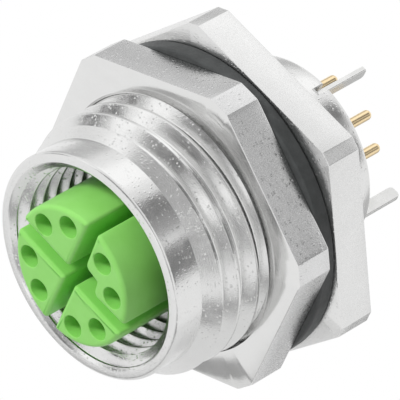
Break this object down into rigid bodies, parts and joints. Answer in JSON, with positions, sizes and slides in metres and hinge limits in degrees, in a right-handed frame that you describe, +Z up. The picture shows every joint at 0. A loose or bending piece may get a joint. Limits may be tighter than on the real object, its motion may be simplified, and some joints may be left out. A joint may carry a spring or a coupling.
{
  "type": "m12 panel connector",
  "caption": "Round metal panel socket with a hexagonal rear flange, flat seal and lock nut, a green X-coded contact insert inside its threaded mouth, and solder pins behind.",
  "frame": {"origin": "on the connector's axis, in the front face of the hexagonal flange, where the panel and its seal seat", "axes": "-Y along the axis towards the mating face, +Y towards the solder pins, +Z up through a corner of the flange"},
  "size_m": [0.02, 0.0211, 0.0216],
  "materials": {
    "plated_housing": "bright nickel plate on turned brass",
    "plated_nut": "bright nickel plate, finely grained flats",
    "seal_rubber": "satin moulded rubber",
    "ring_rubber": "satin moulded rubber",
    "green_moulding": "satin glass-filled moulding",
    "rear_moulding": "satin glass-filled moulding",
    "tinned_shield": "tinned sheet",
    "gold_contact": "gold flash on turned brass"
  },
  "bodies": {
    "shell": {"housing_barrel": "plated_housing", "housing_flange": "plated_housing", "insert": "green_moulding", "insert_seal": "ring_rubber", "rear_holder": "rear_moulding", "shield_plate_a": "tinned_shield", "shield_plate_b": "tinned_shield", "contact_1": "gold_contact", "contact_2": "gold_contact", "contact_3": "gold_contact", "contact_4": "gold_contact", "contact_5": "gold_contact", "contact_6": "gold_contact", "contact_7": "gold_contact", "contact_8": "gold_contact"},
    "seal": {"panel_seal": "seal_rubber"},
    "nut": {"lock_nut": "plated_nut"}
  },
  "joints": [
    {"name": "nut_turn", "type": "hinge", "parent": "shell", "child": "seal", "pos_m": [0, 0, 0], "axis": [0, -1, 0], "range_deg": [0, 1800]},
    {"name": "nut_travel", "type": "slide", "parent": "seal", "child": "nut", "axis": [0, -1, 0], "range_m": [0, 0.00706]}
  ],
  "couplings": [
    {"joint": "nut_travel", "follows": "nut_turn", "m_per_rad": 0.00022441}
  ]
}
